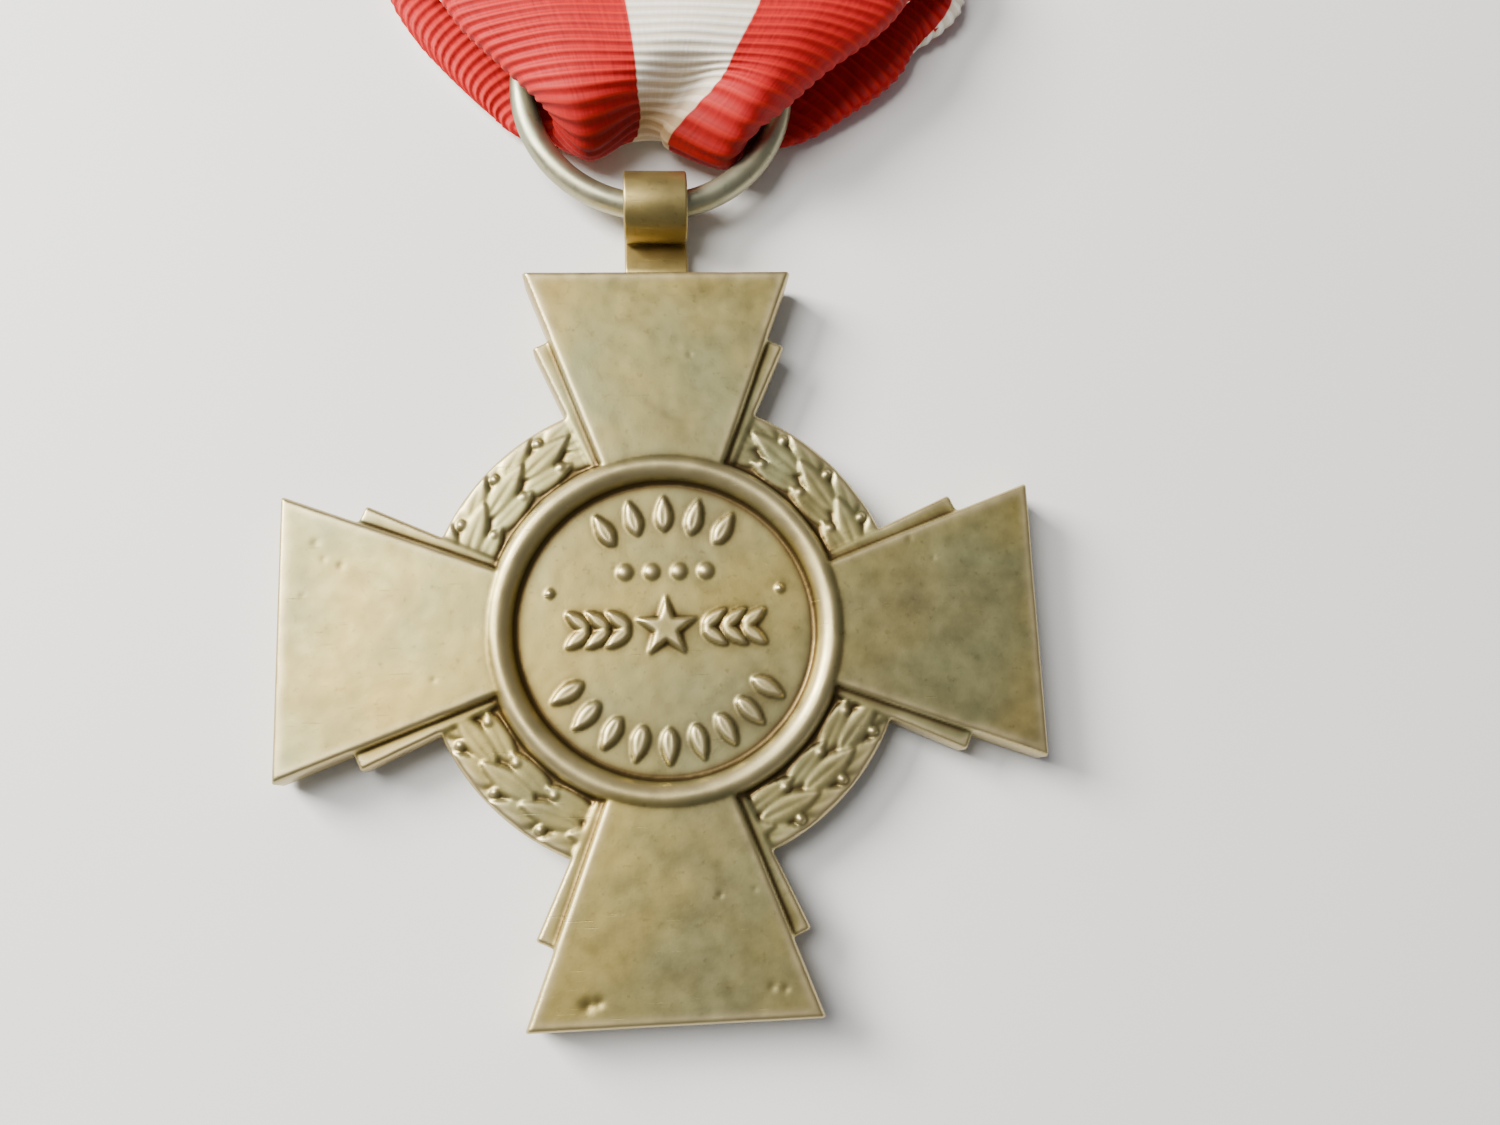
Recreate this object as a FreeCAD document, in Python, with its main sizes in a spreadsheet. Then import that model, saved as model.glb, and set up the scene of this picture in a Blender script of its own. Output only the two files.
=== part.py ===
"""Bronze cross medal on a striped ribbon, with the brooch that pins it to a coat.

The medal lies on its obverse with the reverse up. Millimetres, +Z up out of the reverse face,
+Y from the cross towards the brooch, +X to the right. The origin is the centre of the cross on
the surface it lies on.
"""
import FreeCAD, Part
import math
import os
import re

import Sketcher

# Driving dimensions: alias, value in mm (or degrees, or a count), what it is.
DIMENSIONS = [
    ("cross_reach", 18.0, "centre to the end of an arm: half of the 36 mm module"),
    ("arm_end_half", 6.74, "half width of an arm at its end"),
    ("arm_root_half", 3.06, "half width of an arm where it meets the rim"),
    ("arm_thickness", 2.4, "front face to back face of an arm"),
    ("arm_bevel", 0.25, "chamfer round the faces of the arms"),
    ("ray_reach", 14.1, "centre to the square end of the ray behind an arm"),
    ("ray_end_half", 6.26, "half width of a ray at its end"),
    ("ray_root_half", 3.57, "half width of a ray at the rim"),
    ("ray_thickness", 1.7, "front face to back face of a ray"),
    ("wreath_radius", 11.55, "outer radius of the laurel wreath between the arms"),
    ("wreath_thickness", 1.4, "front face to back face of the wreath's ground"),
    ("rim_radius", 8.75, "outer radius of the raised rim round the medallion"),
    ("rim_width", 1.25, "radial width of that rim"),
    ("rim_height", 2.8, "thickness of the cross over both rims"),
    ("rim_round", 0.45, "chamfer that rounds the rim"),
    ("ray_end_inset", 2.0, "how far a ray's square-cut end runs in under the arm"),
    ("obverse_star_point", 4.0, "centre to a point of the star on the obverse"),
    ("obverse_star_notch", 1.75, "centre to a notch of that star"),
    ("reverse_star_point", 1.45, "centre to a point of the star on the reverse"),
    ("reverse_star_notch", 0.6, "centre to a notch of that star"),
    ("star_relief", 0.3, "height of the reverse star over its field"),
    ("wire_radius", 0.675, "half thickness of the jump ring's wire"),
    ("ring_radius", 6.65, "centre of the jump ring to the centre of its wire"),
    ("ring_gap", 1.2, "angle left open at the ring's butt joint, in degrees"),
    ("loop_rise", 3.75, "centre of the rolled loop beyond the end of the arm"),
    ("loop_lift", 0.45, "centre of the loop over the middle plane of the cross"),
    ("loop_radius", 1.8, "outer radius of the rolled loop"),
    ("loop_bore", 1.1, "radius of the hole in the loop, roomy for the curved wire"),
    ("loop_width", 3.2, "width of the strip that the loop is rolled from"),
    ("neck_thickness", 1.1, "thickness of the strip at its soldered foot"),
    ("slit_gap", 0.2, "gap between the rolled end of the strip and its neck"),
    ("ribbon_width", 37.0, "width of the ribbon"),
    ("ribbon_thickness", 0.4, "thickness of one layer of ribbon"),
    ("fabric_gap", 0.3, "room between gathered ribbon and the ring"),
    ("fold_gap", 0.65, "room between the rolled loop and the lowest fold of the ribbon"),
    ("fold_corner", 1.2, "how far the gather's corners are cut off at its lowest fold"),
    ("fold_rise", 3.2, "length over which the gather widens from its lowest fold"),
    ("ring_room", 0.875, "room between the gathered ribbon and the sides of the ring"),
    ("plug_rise", 2.3, "top of the ribbon inside the ring, beyond the ring's centre"),
    ("shoulder_inset", 3.0, "how much narrower than the ribbon the gather's shoulder is, on each side"),
    ("shoulder_rise", 3.4, "shoulder of the gather beyond the ribbon inside the ring"),
    ("bunch_height", 1.775, "thickness of the gathered ribbon over the ring"),
    ("gather_layers", 4, "layers of ribbon at the end of the gather"),
    ("floor_gap", 0.1, "lowest ribbon surface over the surface the medal lies on"),
    ("bend_rise", 4.8, "line where the loose ribbon bends, beyond the ring"),
    ("bend_gap", 1.2, "room on the ring's side of that line for the bend"),
    ("panel_gap", 0.3, "room on the brooch's side of that line"),
    ("ribbon_drop", 35.5, "that line to the centre of the brooch bar"),
    ("rest_gap", 0.02, "gap between ribbon and the metal it rests on"),
    ("rail_play", 0.05, "gap between the rail and the ribbon folded round it"),
    ("bar_end", 1.0, "metal beyond each end of the slot"),
    ("bar_height", 8.0, "height of the brooch bar"),
    ("bar_thickness", 1.0, "thickness of the brooch bar"),
    ("bar_corner", 1.2, "corner radius of the brooch bar"),
    ("slot_width", 1.6, "slot that the ribbon is folded through"),
    ("rail_width", 1.4, "rail under the slot that carries the ribbon"),
    ("side_gap", 0.5, "room at each end of the slot"),
    ("sheet_metal", 0.4, "thickness of the bracket and catch"),
    ("hinge_inset", 5.0, "hinge of the pin from the end of the bar"),
    ("pin_offset", 1.4, "line of the pin over the middle of the bar"),
    ("pin_height", 1.55, "centre of the pin over the face of the bar"),
    ("pin_radius", 0.4, "half thickness of the pin"),
    ("pin_overhang", 2.5, "point of the pin beyond the middle of its catch"),
    ("pin_taper", 4.0, "length of the sharpened point"),
    ("eye_radius", 1.0, "outer radius of the eye at the end of the pin"),
    ("eye_width", 1.0, "width of the eye along its rivet"),
    ("rivet_radius", 0.45, "half thickness of the hinge rivet"),
    ("rivet_head", 0.8, "radius of the rivet's heads"),
    ("rivet_head_height", 0.3, "height of a rivet head"),
    ("running_gap", 0.05, "radial clearance of the pin's eye on its rivet"),
    ("side_play", 0.1, "clearance of the eye between the bracket's ears"),
    ("bracket_length", 2.4, "length of the hinge bracket along the bar"),
    ("catch_inset", 6.5, "catch from the other end of the bar"),
    ("catch_length", 2.2, "length of the catch along the pin"),
    ("catch_gap", 0.15, "room round the pin in the catch"),
    ("catch_lip", 0.35, "height of the catch's lips over the pin"),
    ("thread_radius", 0.14, "half thickness of the sewing thread"),
    ("stitch_length", 1.1, "length of one stitch"),
    ("stitch_pitch", 1.5, "distance from stitch to stitch"),
    ("stitch_inset", 5.0, "row of stitches below the brooch bar"),
]

# Sizes that follow from those: alias, formula, what it is.
DERIVED = [
    ("loop_y", "cross_reach + loop_rise", "centre of the rolled loop from the centre of the cross"),
    ("wire_z", "rim_height / 2 + loop_lift", "centre of the loop and of the ring's wire over the surface"),
    ("wire_under", "wire_z - wire_radius - fabric_gap", "top of the ribbon behind the ring"),
    ("wire_over", "wire_z + wire_radius + fabric_gap", "underside of the ribbon in front of the ring"),
    ("ring_y", "loop_y + ring_radius", "centre of the jump ring"),
    ("ring_end_y", "ring_y + ring_radius + wire_radius", "far side of the jump ring"),
    ("fold_y", "loop_y + loop_radius + fold_gap", "lowest fold of the ribbon, inside the ring"),
    ("plug_y", "ring_y + plug_rise", "top of the ribbon inside the ring"),
    ("gather_half", "ring_radius - wire_radius - ring_room", "half width of the ribbon inside the ring"),
    ("gather_top", "wire_over + bunch_height", "top of the gathered ribbon"),
    ("bend_y", "ring_end_y + bend_rise", "line where the loose ribbon bends above the ring"),
    ("gather_end", "bend_y - bend_gap", "end of the part of the ribbon that moves with the ring"),
    ("bar_y", "bend_y + ribbon_drop", "centre of the brooch bar"),
    ("rail_y", "bar_y - bar_height / 2", "lower edge of the brooch bar"),
    ("bar_under", "floor_gap + ribbon_thickness + rest_gap", "underside of the bar, on the lower layer"),
    ("bar_face", "bar_under + bar_thickness", "face of the bar that carries the pin"),
    ("bar_length", "ribbon_width + 2 * side_gap + 2 * bar_end", "length of the brooch bar"),
    ("hinge_x", "bar_length / 2 - hinge_inset", "hinge of the pin from the middle of the bar"),
    ("catch_x", "catch_inset - bar_length / 2", "catch from the middle of the bar"),
    ("pin_y", "bar_y + pin_offset", "line of the pin across the bar"),
    ("pin_z", "bar_face + pin_height", "centre of the pin"),
    ("pin_length", "hinge_x - catch_x + pin_overhang", "hinge to the point of the pin"),
]

doc = FreeCAD.newDocument("cross_medal")
sheet = doc.addObject("Spreadsheet::Sheet", "Sizes")
for row, (alias, value, meaning) in enumerate(DIMENSIONS, start=1):
    sheet.set(f"A{row}", str(value))
    sheet.setAlias(f"A{row}", alias)
    sheet.set(f"B{row}", meaning)
for row, (alias, formula, meaning) in enumerate(DERIVED, start=len(DIMENSIONS) + 1):
    sheet.set(f"A{row}", f"={formula}")
    sheet.setAlias(f"A{row}", alias)
    sheet.set(f"B{row}", meaning)
doc.recompute()

ORIGIN_POINT = (-1, 1)
TINY = 1e-6
sub_parts = []


def size(expression):
    """The number that an expression over the sheet has now."""
    return float(sheet.evalExpression(expression))


def sized(text):
    """Writes each word of an expression that is an alias as a cell of the sheet."""
    aliases = {alias for alias, _, _ in DIMENSIONS + DERIVED}
    return re.sub("[a-z_]+", lambda word: ("Sizes." if word[0] in aliases else "") + word[0], text)


def new_body(name, position=("0", "0", "0")):
    """A body whose placement follows the sheet."""
    body = doc.addObject("PartDesign::Body", name)
    body.Label = name
    place(body, position)
    sub_parts.append(body)
    return body


def place(thing, position):
    for axis, expression in zip("xyz", position):
        thing.setExpression(f"Placement.Base.{axis}", sized(expression))


def origin_feature(body, role):
    return next(feature for feature in body.Origin.OriginFeatures if feature.Role == role)


def new_sketch(body, name, role):
    sketch = body.newObject("Sketcher::SketchObject", name)
    sketch.AttachmentSupport = (origin_feature(body, role), [""])
    sketch.MapMode = "FlatFace"
    return sketch


def bind_constraint(sketch, kind, where, expression):
    """Adds one dimension to a sketch and ties its value to the sheet."""
    index = sketch.addConstraint(Sketcher.Constraint(kind, *where, size(sized(expression))))
    sketch.setExpression(f"Constraints[{index}]", sized(expression))


def draw_polygon(sketch, corners):
    """Closed outline whose corners are pairs of expressions."""
    points = [FreeCAD.Vector(size(sized(across)), size(sized(up)), 0) for across, up in corners]
    first = sketch.GeometryCount
    count = len(points)
    for number in range(count):
        sketch.addGeometry(Part.LineSegment(points[number], points[(number + 1) % count]), False)
    for number in range(count):
        this_line, next_line = first + number, first + (number + 1) % count
        sketch.addConstraint(Sketcher.Constraint("Coincident", this_line, 2, next_line, 1))
    for number, (across, up) in enumerate(corners):
        bind_constraint(sketch, "DistanceX", (first + number, 1), across)
        bind_constraint(sketch, "DistanceY", (first + number, 1), up)


def draw_circle(sketch, radius, center=("0", "0")):
    middle = FreeCAD.Vector(size(sized(center[0])), size(sized(center[1])), 0)
    circle = Part.Circle(middle, FreeCAD.Vector(0, 0, 1), size(sized(radius)))
    index = sketch.addGeometry(circle, False)
    bind_constraint(sketch, "Radius", (index,), radius)
    if center == ("0", "0"):
        sketch.addConstraint(Sketcher.Constraint("Coincident", index, 3, *ORIGIN_POINT))
    else:
        bind_constraint(sketch, "DistanceX", (index, 3), center[0])
        bind_constraint(sketch, "DistanceY", (index, 3), center[1])


def draw_rectangle(sketch, half_width, half_height):
    draw_polygon(sketch, [(f"0 - {half_width}", f"0 - {half_height}"), (half_width, f"0 - {half_height}"),
                          (half_width, half_height), (f"0 - {half_width}", half_height)])


def add_feature(body, kind, name, sketch, length, symmetric=True, backwards=False):
    """A pad or pocket of a sketch; a pocket is symmetric, so it can't point away from the solid."""
    feature = body.newObject(f"PartDesign::{kind}", name)
    feature.Profile = sketch
    feature.SideType = "Symmetric" if symmetric else "One side"
    feature.Reversed = backwards
    feature.setExpression("Length", sized(length))
    return feature


def repeat_round(body, name, original, count):
    """Copies of a feature round the body's Z axis."""
    pattern = body.newObject("PartDesign::PolarPattern", name)
    pattern.Originals = [original]
    pattern.Axis = (origin_feature(body, "Z_Axis"), [""])
    pattern.Angle = 360
    pattern.Occurrences = count
    body.Tip = pattern
    return pattern


def spread_arm(root_half, root_y, end_half, end_y):
    """Outline of an arm that widens from the rim to its end."""
    return [(f"0 - {root_half}", root_y), (root_half, root_y), (end_half, end_y), (f"0 - {end_half}", end_y)]


def ray_corners():
    """Outline of a ray: like an arm, but with each end cut square to its sloping side."""
    inside_rim = "rim_radius - rim_width / 2"
    square_ended = spread_arm("ray_root_half", inside_rim, "ray_end_half", "ray_reach")
    left_root, right_root, right_end, left_end = square_ended
    slope = f"( ray_end_half - ray_root_half ) / ( ray_reach - {inside_rim} )"
    crown = f"ray_reach + ray_end_inset * {slope}"
    return [left_root, right_root, right_end, ("ray_end_half - ray_end_inset", crown),
            ("ray_end_inset - ray_end_half", crown), left_end]


def star_corners(face):
    """Ten corners of a five-pointed star, a point towards the ribbon."""
    corners = []
    for corner in range(10):
        radius = f"{face}_star_point" if corner % 2 == 0 else f"{face}_star_notch"
        angle = math.radians(90 + 36 * corner)
        corners.append((f"{radius} * {math.cos(angle):.6f}", f"{radius} * {math.sin(angle):.6f}"))
    return corners


def build_cross():
    """One struck blank: wreath ground, four rays, four arms, rim and a star on each face."""
    body = new_body("cross", ("0", "0", "rim_height / 2"))
    ground = new_sketch(body, "wreath_outline", "XY_Plane")
    draw_circle(ground, "wreath_radius")
    add_feature(body, "Pad", "wreath_ground", ground, "wreath_thickness")

    ray = new_sketch(body, "ray_outline", "XY_Plane")
    draw_polygon(ray, ray_corners())
    ray_pad = add_feature(body, "Pad", "ray", ray, "ray_thickness")
    repeat_round(body, "rays", ray_pad, 4)

    arm = new_sketch(body, "arm_outline", "XY_Plane")
    inside_rim = "rim_radius - rim_width / 2"
    draw_polygon(arm, spread_arm("arm_root_half", inside_rim, "arm_end_half", "cross_reach"))
    arm_pad = add_feature(body, "Pad", "arm", arm, "arm_thickness")
    repeat_round(body, "arms", arm_pad, 4)
    doc.recompute()

    struck = body.Tip
    bevel = body.newObject("PartDesign::Chamfer", "arm_bevels")
    bevel.Base = (struck, arm_face_edges(struck.Shape, size(sized("arm_thickness / 2"))))
    step = "( arm_thickness - ray_thickness ) / 2"
    bevel.setExpression("Size", sized(f"min( arm_bevel ; 0.9 * {step} )"))
    body.Tip = bevel

    rim = new_sketch(body, "rim_profile", "XZ_Plane")
    inner, outer, top = "rim_radius - rim_width", "rim_radius", "rim_height / 2"
    draw_polygon(rim, [(f"{inner} + rim_round", f"0 - {top}"), (f"{outer} - rim_round", f"0 - {top}"),
                       (outer, f"rim_round - {top}"), (outer, f"{top} - rim_round"),
                       (f"{outer} - rim_round", top), (f"{inner} + rim_round", top),
                       (inner, f"{top} - rim_round"), (inner, f"rim_round - {top}")])
    turned = body.newObject("PartDesign::Revolution", "rim")
    turned.Profile = rim
    turned.ReferenceAxis = (origin_feature(body, "Z_Axis"), [""])
    turned.Angle = 360

    raised = new_sketch(body, "reverse_star_outline", "XY_Plane")
    draw_polygon(raised, star_corners("reverse"))
    add_feature(body, "Pad", "reverse_star", raised, "wreath_thickness / 2 + star_relief", False)
    lower = new_sketch(body, "obverse_star_outline", "XY_Plane")
    draw_polygon(lower, star_corners("obverse"))
    add_feature(body, "Pad", "obverse_star", lower, "rim_height / 2", False, True)


def arm_face_edges(shape, level):
    """Names of the outer edges of the arms' faces, which lie in the planes z = level and z = -level."""
    names = []
    for number, edge in enumerate(shape.Edges, start=1):
        box = edge.BoundBox
        in_plane = box.ZLength < TINY and abs(abs(box.Center.z) - level) < TINY
        if in_plane and math.hypot(box.Center.x, box.Center.y) > size(sized("wreath_radius")):
            names.append(f"Edge{number}")
    return names


def build_suspension_loop():
    """Flat strip soldered to the top arm and rolled round the jump ring."""
    body = new_body("suspension_loop", ("0", "loop_y", "wire_z"))
    foot = "0 - loop_rise"
    low = "0 - loop_lift - neck_thickness / 2"
    high = "0 - loop_lift + neck_thickness / 2"
    neck = new_sketch(body, "neck_outline", "YZ_Plane")
    draw_polygon(neck, [(foot, low), ("0", "0 - loop_radius"), ("0", "0 - loop_bore"), (foot, high)])
    add_feature(body, "Pad", "neck", neck, "loop_width")
    roll = new_sketch(body, "roll_outline", "YZ_Plane")
    draw_circle(roll, "loop_radius")
    add_feature(body, "Pad", "roll", roll, "loop_width")
    bore = new_sketch(body, "bore_outline", "YZ_Plane")
    draw_circle(bore, "loop_bore")
    add_feature(body, "Pocket", "bore", bore, "loop_width * 2")
    slit = new_sketch(body, "slit_outline", "YZ_Plane")
    draw_polygon(slit, [("0 - loop_radius * 1.5", f"{high}"), ("0 - loop_bore / 2", f"{high}"),
                        ("0 - loop_bore / 2", f"{high} + slit_gap"),
                        ("0 - loop_radius * 1.5", f"{high} + slit_gap")])
    add_feature(body, "Pocket", "slit", slit, "loop_width * 2")


def build_jump_ring():
    """Round wire bent to a circle; its butt joint is hidden under the ribbon."""
    ring = doc.addObject("Part::Torus", "jump_ring")
    ring.Label = "jump_ring"
    ring.setExpression("Radius1", sized("ring_radius"))
    ring.setExpression("Radius2", sized("wire_radius"))
    ring.setExpression("Angle3", sized("360 - ring_gap"))
    ring.Placement.Rotation = FreeCAD.Rotation(FreeCAD.Vector(0, 0, 1), 90)
    place(ring, ("0", "ring_y", "wire_z"))
    sub_parts.append(ring)


def build_ribbon_gather():
    """Bunched ribbon that passes through the ring and closes round its far side."""
    body = new_body("ribbon_gather")
    layers = "floor_gap + gather_layers * ribbon_thickness"
    wire_room_end = "ring_end_y + fabric_gap"
    side = new_sketch(body, "gather_side", "YZ_Plane")
    draw_polygon(side, [("fold_y", "wire_z - wire_radius"), ("fold_y + fold_corner", "floor_gap"),
                        ("gather_end", "floor_gap"), ("gather_end", layers), (wire_room_end, "gather_top"),
                        ("fold_y + fold_corner", "gather_top"), ("fold_y", "wire_over")])
    add_feature(body, "Pad", "gather", side, "ribbon_width")
    wire_room = new_sketch(body, "wire_room_side", "YZ_Plane")
    draw_polygon(wire_room, [("plug_y", "wire_under"), (wire_room_end, "wire_under"),
                             (wire_room_end, "wire_over"), ("plug_y", "wire_over")])
    add_feature(body, "Pocket", "wire_room", wire_room, "ribbon_width * 2")

    trim = new_sketch(body, "gather_plan", "XY_Plane")
    shoulder = "ribbon_width / 2 - shoulder_inset"
    past_fold, past_end, past_side = "fold_y - bend_gap", "gather_end + bend_gap", "ribbon_width"
    draw_polygon(trim, [("gather_half - fold_corner", past_fold), ("gather_half - fold_corner", "fold_y"),
                        ("gather_half", "fold_y + fold_rise"), ("gather_half", "plug_y"),
                        (shoulder, "plug_y + shoulder_rise"), ("ribbon_width / 2", "gather_end - bend_gap"),
                        ("ribbon_width / 2", past_end), (past_side, past_end), (past_side, past_fold)])
    trim_right = add_feature(body, "Pocket", "trim_right", trim, "gather_top * 4")
    mirror = body.newObject("PartDesign::Mirrored", "trim_left")
    mirror.Originals = [trim_right]
    mirror.MirrorPlane = (origin_feature(body, "YZ_Plane"), [""])
    body.Tip = mirror


def build_ribbon_panels():
    """The two layers of ribbon between the ring and the brooch; the upper one turns through the slot."""
    start = "bend_y + panel_gap"
    fold_inside = "rail_y + rail_width + rail_play"
    obverse = new_body("ribbon_obverse_panel")
    flat = new_sketch(obverse, "obverse_side", "YZ_Plane")
    lower = "floor_gap + ribbon_thickness"
    draw_polygon(flat, [(start, "floor_gap"), (fold_inside, "floor_gap"),
                        (fold_inside, lower), (start, lower)])
    add_feature(obverse, "Pad", "obverse_layer", flat, "ribbon_width")

    reverse = new_body("ribbon_reverse_panel")
    under = "bar_face + rest_gap"
    over = f"{under} + ribbon_thickness"
    fold_outside = f"{fold_inside} + ribbon_thickness"
    hooked = new_sketch(reverse, "reverse_side", "YZ_Plane")
    draw_polygon(hooked, [(start, under), (fold_inside, under), (fold_inside, "floor_gap"),
                          (fold_outside, "floor_gap"), (fold_outside, over), (start, over)])
    add_feature(reverse, "Pad", "reverse_layer", hooked, "ribbon_width")


def build_stitches():
    """A row of hand stitches; a compound of separate threads, which no single feature makes."""
    radius, length = size(sized("thread_radius")), size(sized("stitch_length"))
    pitch = size(sized("stitch_pitch"))
    count = int(size(sized("ribbon_width / stitch_pitch"))) - 2
    row_y = size(sized("rail_y - stitch_inset"))
    row_z = size(sized("bar_face + rest_gap + ribbon_thickness + thread_radius"))
    threads = []
    for number in range(count):
        across = (number - (count - 1) / 2) * pitch
        start = FreeCAD.Vector(across, row_y, row_z)
        threads.append(Part.makeCylinder(radius, length, start, FreeCAD.Vector(0, 1, 0)))
    stitches = doc.addObject("Part::Feature", "ribbon_stitches")
    stitches.Label = "ribbon_stitches"
    stitches.Shape = Part.makeCompound(threads)
    sub_parts.append(stitches)


def build_brooch_bar():
    """Brass frame: a solid bar above the slot, a thin rail below it."""
    body = new_body("brooch_bar", ("0", "bar_y", "bar_under + bar_thickness / 2"))
    outline = new_sketch(body, "bar_outline", "XY_Plane")
    draw_rectangle(outline, "bar_length / 2", "bar_height / 2")
    add_feature(body, "Pad", "bar", outline, "bar_thickness")
    slot = new_sketch(body, "slot_outline", "XY_Plane")
    low = "rail_width - bar_height / 2"
    high = f"{low} + slot_width"
    left, right = "0 - ribbon_width / 2 - side_gap", "ribbon_width / 2 + side_gap"
    draw_polygon(slot, [(left, low), (right, low), (right, high), (left, high)])
    add_feature(body, "Pocket", "slot", slot, "bar_thickness * 2")
    doc.recompute()
    slotted = body.Tip
    rounding = body.newObject("PartDesign::Fillet", "bar_corners")
    rounding.Base = (slotted, corner_edges(slotted.Shape, size(sized("bar_length / 2"))))
    rounding.setExpression("Radius", sized("bar_corner"))
    body.Tip = rounding


def corner_edges(shape, half_length):
    """Names of the upright edges at the outer corners of the bar."""
    names = []
    for number, edge in enumerate(shape.Edges, start=1):
        box = edge.BoundBox
        upright = box.XLength < TINY and box.YLength < TINY
        if upright and abs(abs(box.Center.x) - half_length) < TINY:
            names.append(f"Edge{number}")
    return names


def build_hinge_bracket():
    """Folded sheet: a base soldered to the bar and two ears for the rivet."""
    body = new_body("hinge_bracket", ("hinge_x", "pin_y", "pin_z"))
    inner = "eye_width / 2 + side_play"
    outer = f"{inner} + sheet_metal"
    minus_inner = "0 - eye_width / 2 - side_play"
    minus_outer = f"{minus_inner} - sheet_metal"
    bottom, floor_top, top = "0 - pin_height", "sheet_metal - pin_height", "eye_radius"
    folded = new_sketch(body, "bracket_side", "YZ_Plane")
    draw_polygon(folded, [(minus_outer, bottom), (outer, bottom), (outer, top), (inner, top),
                          (inner, floor_top), (minus_inner, floor_top), (minus_inner, top),
                          (minus_outer, top)])
    add_feature(body, "Pad", "folded_sheet", folded, "bracket_length")
    hole = new_sketch(body, "rivet_hole_outline", "XZ_Plane")
    draw_circle(hole, "rivet_radius")
    add_feature(body, "Pocket", "rivet_hole", hole, "bracket_length * 4")


def build_hinge_rivet():
    """Rivet along Y with a head outside each ear."""
    body = new_body("hinge_rivet", ("hinge_x", "pin_y", "pin_z"))
    shank = new_sketch(body, "shank_outline", "XZ_Plane")
    draw_circle(shank, "rivet_radius")
    grip = "eye_width + 2 * side_play + 2 * sheet_metal"
    add_feature(body, "Pad", "shank", shank, f"{grip} + 2 * rivet_head_height")
    heads = new_sketch(body, "head_outline", "XZ_Plane")
    draw_circle(heads, "rivet_head")
    add_feature(body, "Pad", "heads", heads, f"{grip} + 2 * rivet_head_height")
    between = new_sketch(body, "between_heads_outline", "XZ_Plane")
    draw_circle(between, "rivet_head * 1.5")
    draw_circle(between, "rivet_radius")
    add_feature(body, "Pocket", "between_heads", between, grip)


def build_pin_wire():
    """Steel pin with an eye round the rivet and a sharpened point beyond the catch."""
    body = new_body("pin_wire", ("hinge_x", "pin_y", "pin_z"))
    eye = new_sketch(body, "eye_outline", "XZ_Plane")
    draw_circle(eye, "eye_radius")
    add_feature(body, "Pad", "eye", eye, "eye_width")
    profile = new_sketch(body, "wire_profile", "XY_Plane")
    draw_polygon(profile, [("0 - pin_length", "0"), ("0", "0"), ("0", "pin_radius"),
                           ("pin_taper - pin_length", "pin_radius")])
    wire = body.newObject("PartDesign::Revolution", "wire")
    wire.Profile = profile
    wire.ReferenceAxis = (origin_feature(body, "X_Axis"), [""])
    wire.Angle = 360
    bore = new_sketch(body, "eye_bore_outline", "XZ_Plane")
    draw_circle(bore, "rivet_radius + running_gap")
    add_feature(body, "Pocket", "eye_bore", bore, "eye_width * 3")


def build_catch():
    """Sheet folded to a trough that holds the closed pin."""
    body = new_body("catch", ("catch_x", "pin_y", "pin_z"))
    inner = "pin_radius + catch_gap"
    outer = f"{inner} + sheet_metal"
    minus_inner = "0 - pin_radius - catch_gap"
    minus_outer = f"{minus_inner} - sheet_metal"
    top = "pin_radius + catch_lip"
    folded = new_sketch(body, "catch_side", "YZ_Plane")
    draw_polygon(folded, [(minus_outer, "0 - pin_height"), (outer, "0 - pin_height"), (outer, top),
                          (inner, top), (inner, minus_inner), (minus_inner, minus_inner),
                          (minus_inner, top), (minus_outer, top)])
    add_feature(body, "Pad", "trough", folded, "catch_length")


def check_objects():
    """Stops if any feature failed or any sub-part is empty or broken."""
    for thing in doc.Objects:
        if "Invalid" in thing.State or "Error" in thing.State:
            raise RuntimeError(f"{thing.Name} failed: {thing.State}")
    for thing in sub_parts:
        if thing.Shape.isNull() or not thing.Shape.isValid():
            raise RuntimeError(f"{thing.Label} has no valid shape")


def export_sub_parts():
    os.makedirs("parts", exist_ok=True)
    for thing in sub_parts:
        thing.Shape.exportStep(f"parts/{thing.Label}.step")
        solids = len(thing.Shape.Solids)
        print(f"{thing.Label}: {solids} solid(s), {thing.Shape.Volume:.2f} mm3")


build_cross()
build_suspension_loop()
build_jump_ring()
build_ribbon_gather()
build_ribbon_panels()
build_stitches()
build_brooch_bar()
build_hinge_bracket()
build_hinge_rivet()
build_pin_wire()
build_catch()
doc.recompute()
check_objects()
export_sub_parts()
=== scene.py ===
"""Looks of a bronze cross medal: struck cross, wire ring, rolled loop, ribbed ribbon and brooch."""

import math

import bmesh
import bpy
import numpy as np
from mathutils import Matrix, Vector


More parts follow.
